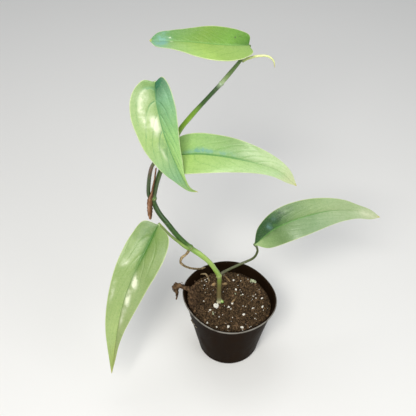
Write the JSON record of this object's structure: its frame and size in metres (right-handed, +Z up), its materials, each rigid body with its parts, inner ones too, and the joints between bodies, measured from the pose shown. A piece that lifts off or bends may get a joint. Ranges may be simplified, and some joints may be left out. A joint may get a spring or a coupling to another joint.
{
  "type": "potted climbing house plant",
  "caption": "Cebu blue pothos vine with long blue-green leaves climbing out of a small black nursery pot of peat and perlite.",
  "frame": {"origin": "centre of the pot's flat foot, on the ground", "axes": "+Z up, -Y towards the front of the plant, the vine leans towards -X and comes back over the pot at the top"},
  "size_m": [0.2262, 0.1162, 0.2991],
  "materials": {
    "pot_plastic": "satin",
    "peat": "matte",
    "vine_green": "satin",
    "stalk_green": "satin",
    "leaf_green": "satin",
    "young_leaf": "satin",
    "dry_brown": "matte",
    "root_tan": "matte",
    "root_brown": "matte"
  },
  "bodies": {
    "root": {"pot": "pot_plastic", "soil": "peat", "vine_stem": "vine_green", "petiole_a": "stalk_green", "petiole_b": "stalk_green", "petiole_c": "stalk_green", "petiole_d": "stalk_green", "petiole_e": "stalk_green", "leaf_a": "leaf_green", "leaf_b": "leaf_green", "leaf_c": "leaf_green", "leaf_d": "leaf_green", "leaf_e": "leaf_green", "leaf_spear": "young_leaf", "dry_sheath": "dry_brown", "aerial_root": "root_tan", "surface_root": "root_tan", "rim_debris": "root_brown"}
  },
  "joints": []
}
